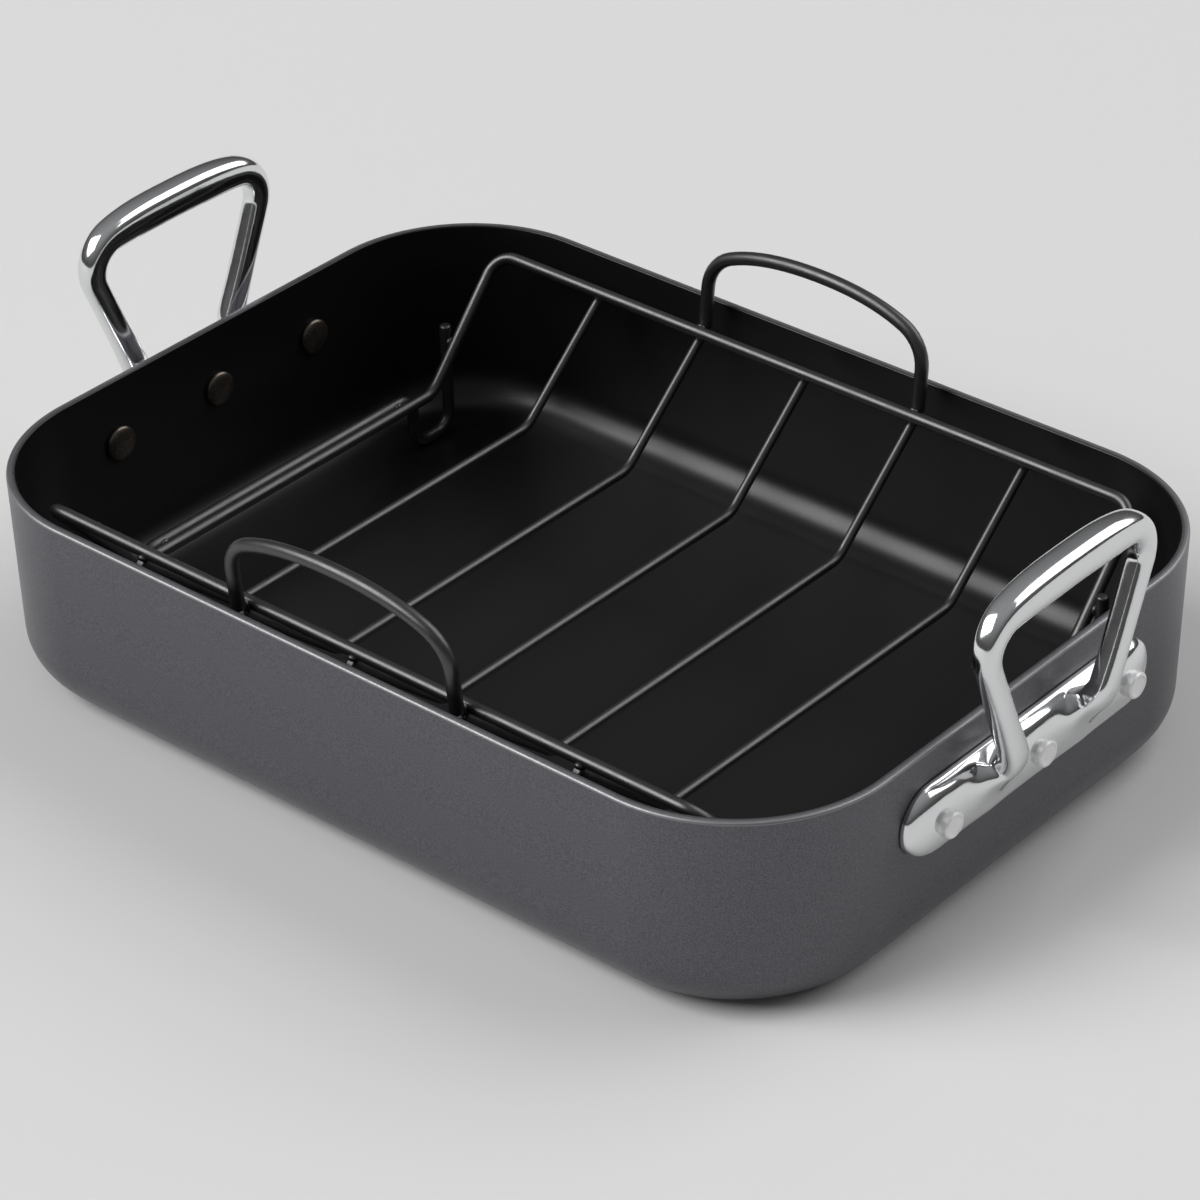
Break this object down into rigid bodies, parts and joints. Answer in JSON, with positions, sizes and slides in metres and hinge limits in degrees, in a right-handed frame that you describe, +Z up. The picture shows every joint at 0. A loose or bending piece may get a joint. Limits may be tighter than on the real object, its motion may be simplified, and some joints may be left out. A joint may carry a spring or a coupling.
{
  "type": "roasting pan with rack",
  "caption": "Rectangular roasting pan with rounded corners, upright bail handles riveted to the end walls, and a lift-out trough-shaped wire rack with arched lifting handles.",
  "frame": {"origin": "on the table under the middle of the pan, at the underside of its floor", "axes": "+X along the pan towards the right handle, +Y across it towards the back, +Z up"},
  "size_m": [0.4476, 0.296, 0.1464],
  "materials": {
    "pan": "hard-anodised matt dark grey outside, black satin non-stick inside, bare bright rim edge",
    "handle": "mirror-polished cast stainless steel",
    "rivet": "satin turned aluminium outside, dark satin domes inside the pan",
    "rack": "black semi-gloss non-stick coating on steel wire"
  },
  "bodies": {
    "pan": {"pan_body": "pan", "handle_left": "handle", "handle_right": "handle", "rivet_left_front": "rivet", "rivet_left_middle": "rivet", "rivet_left_rear": "rivet", "rivet_right_front": "rivet", "rivet_right_middle": "rivet", "rivet_right_rear": "rivet"},
    "rack": {"rack_frame": "rack", "rack_cross_wire_1": "rack", "rack_cross_wire_2": "rack", "rack_cross_wire_3": "rack", "rack_cross_wire_4": "rack", "rack_cross_wire_5": "rack", "rack_foot_left": "rack", "rack_foot_right": "rack", "rack_handle_front": "rack", "rack_handle_back": "rack"}
  },
  "joints": [
    {"name": "rack_lift", "type": "slide", "parent": "pan", "child": "rack", "axis": [0, 0, 1], "range_m": [0, 0.16]}
  ]
}
